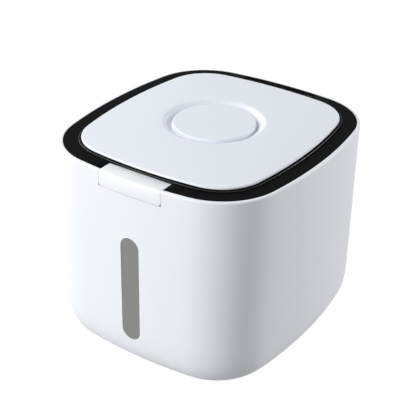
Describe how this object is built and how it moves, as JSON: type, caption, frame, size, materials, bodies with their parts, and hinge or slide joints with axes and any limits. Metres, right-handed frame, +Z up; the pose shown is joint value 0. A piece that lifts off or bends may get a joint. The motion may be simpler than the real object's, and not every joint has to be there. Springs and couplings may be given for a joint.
{
  "type": "rice storage bin",
  "caption": "White rounded-square storage bin for rice, with a black collar, a sprung hinged lid, a wide press latch at the front and an upright sight window.",
  "frame": {"origin": "middle of the feet's plane, under the centre of the bin", "axes": "+Z up, -Y towards the front with the button and the window, +X to the right seen from the front"},
  "size_m": [0.252, 0.276, 0.221],
  "materials": {
    "white_body": "satin moulded",
    "white_lid": "satin moulded",
    "white_button": "smooth moulded",
    "black_collar": "fine matt",
    "black_lid": "fine matt",
    "black_lever": "plain moulded",
    "window": "smoked, smooth",
    "gasket": "soft matt",
    "lid_seal": "soft silicone",
    "feet": "matt",
    "steel": "ground",
    "spring_wire": "drawn wire, black oxide",
    "screws": "zinc plated",
    "bushes": "black acetal",
    "desiccant_case": "satin moulded",
    "sachet": "non-woven"
  },
  "bodies": {
    "bin": {"outer_bucket": "white_body", "window_pane": "window", "window_gasket": "gasket", "window_retainer": "white_body", "window_screws": "screws", "collar": "black_collar", "collar_seal": "gasket", "hinge_pin_left": "steel", "hinge_pin_right": "steel", "hinge_spring_left": "spring_wire", "hinge_spring_right": "spring_wire", "latch_pin": "steel", "latch_spring_left": "spring_wire", "latch_spring_right": "spring_wire", "foot_front_left": "feet", "foot_front_right": "feet", "foot_rear_left": "feet", "foot_rear_right": "feet"},
    "lid": {"lid_cover": "white_lid", "lid_base": "black_lid", "lid_seal": "lid_seal", "lid_screws": "screws", "hinge_bush_left": "bushes", "hinge_bush_right": "bushes", "desiccant_box": "desiccant_case", "desiccant_sachet": "sachet"},
    "cap": {"desiccant_cap": "desiccant_case"},
    "latch": {"latch_button": "white_button", "latch_lever": "black_lever", "latch_screws": "screws"}
  },
  "joints": [
    {"name": "lid_hinge", "type": "hinge", "parent": "bin", "child": "lid", "pos_m": [0, 0.1271, 0.2102], "axis": [-1, 0, 0], "range_deg": [0, 95]},
    {"name": "latch_press", "type": "hinge", "parent": "bin", "child": "latch", "pos_m": [0, -0.1265, 0.1935], "axis": [-1, 0, 0], "range_deg": [0, 4], "stiffness_Nm_per_rad": 1},
    {"name": "desiccant_twist", "type": "hinge", "parent": "lid", "child": "cap", "pos_m": [0, 0.0015, 0.198], "axis": [0, 0, 1], "range_deg": [0, 30]}
  ]
}
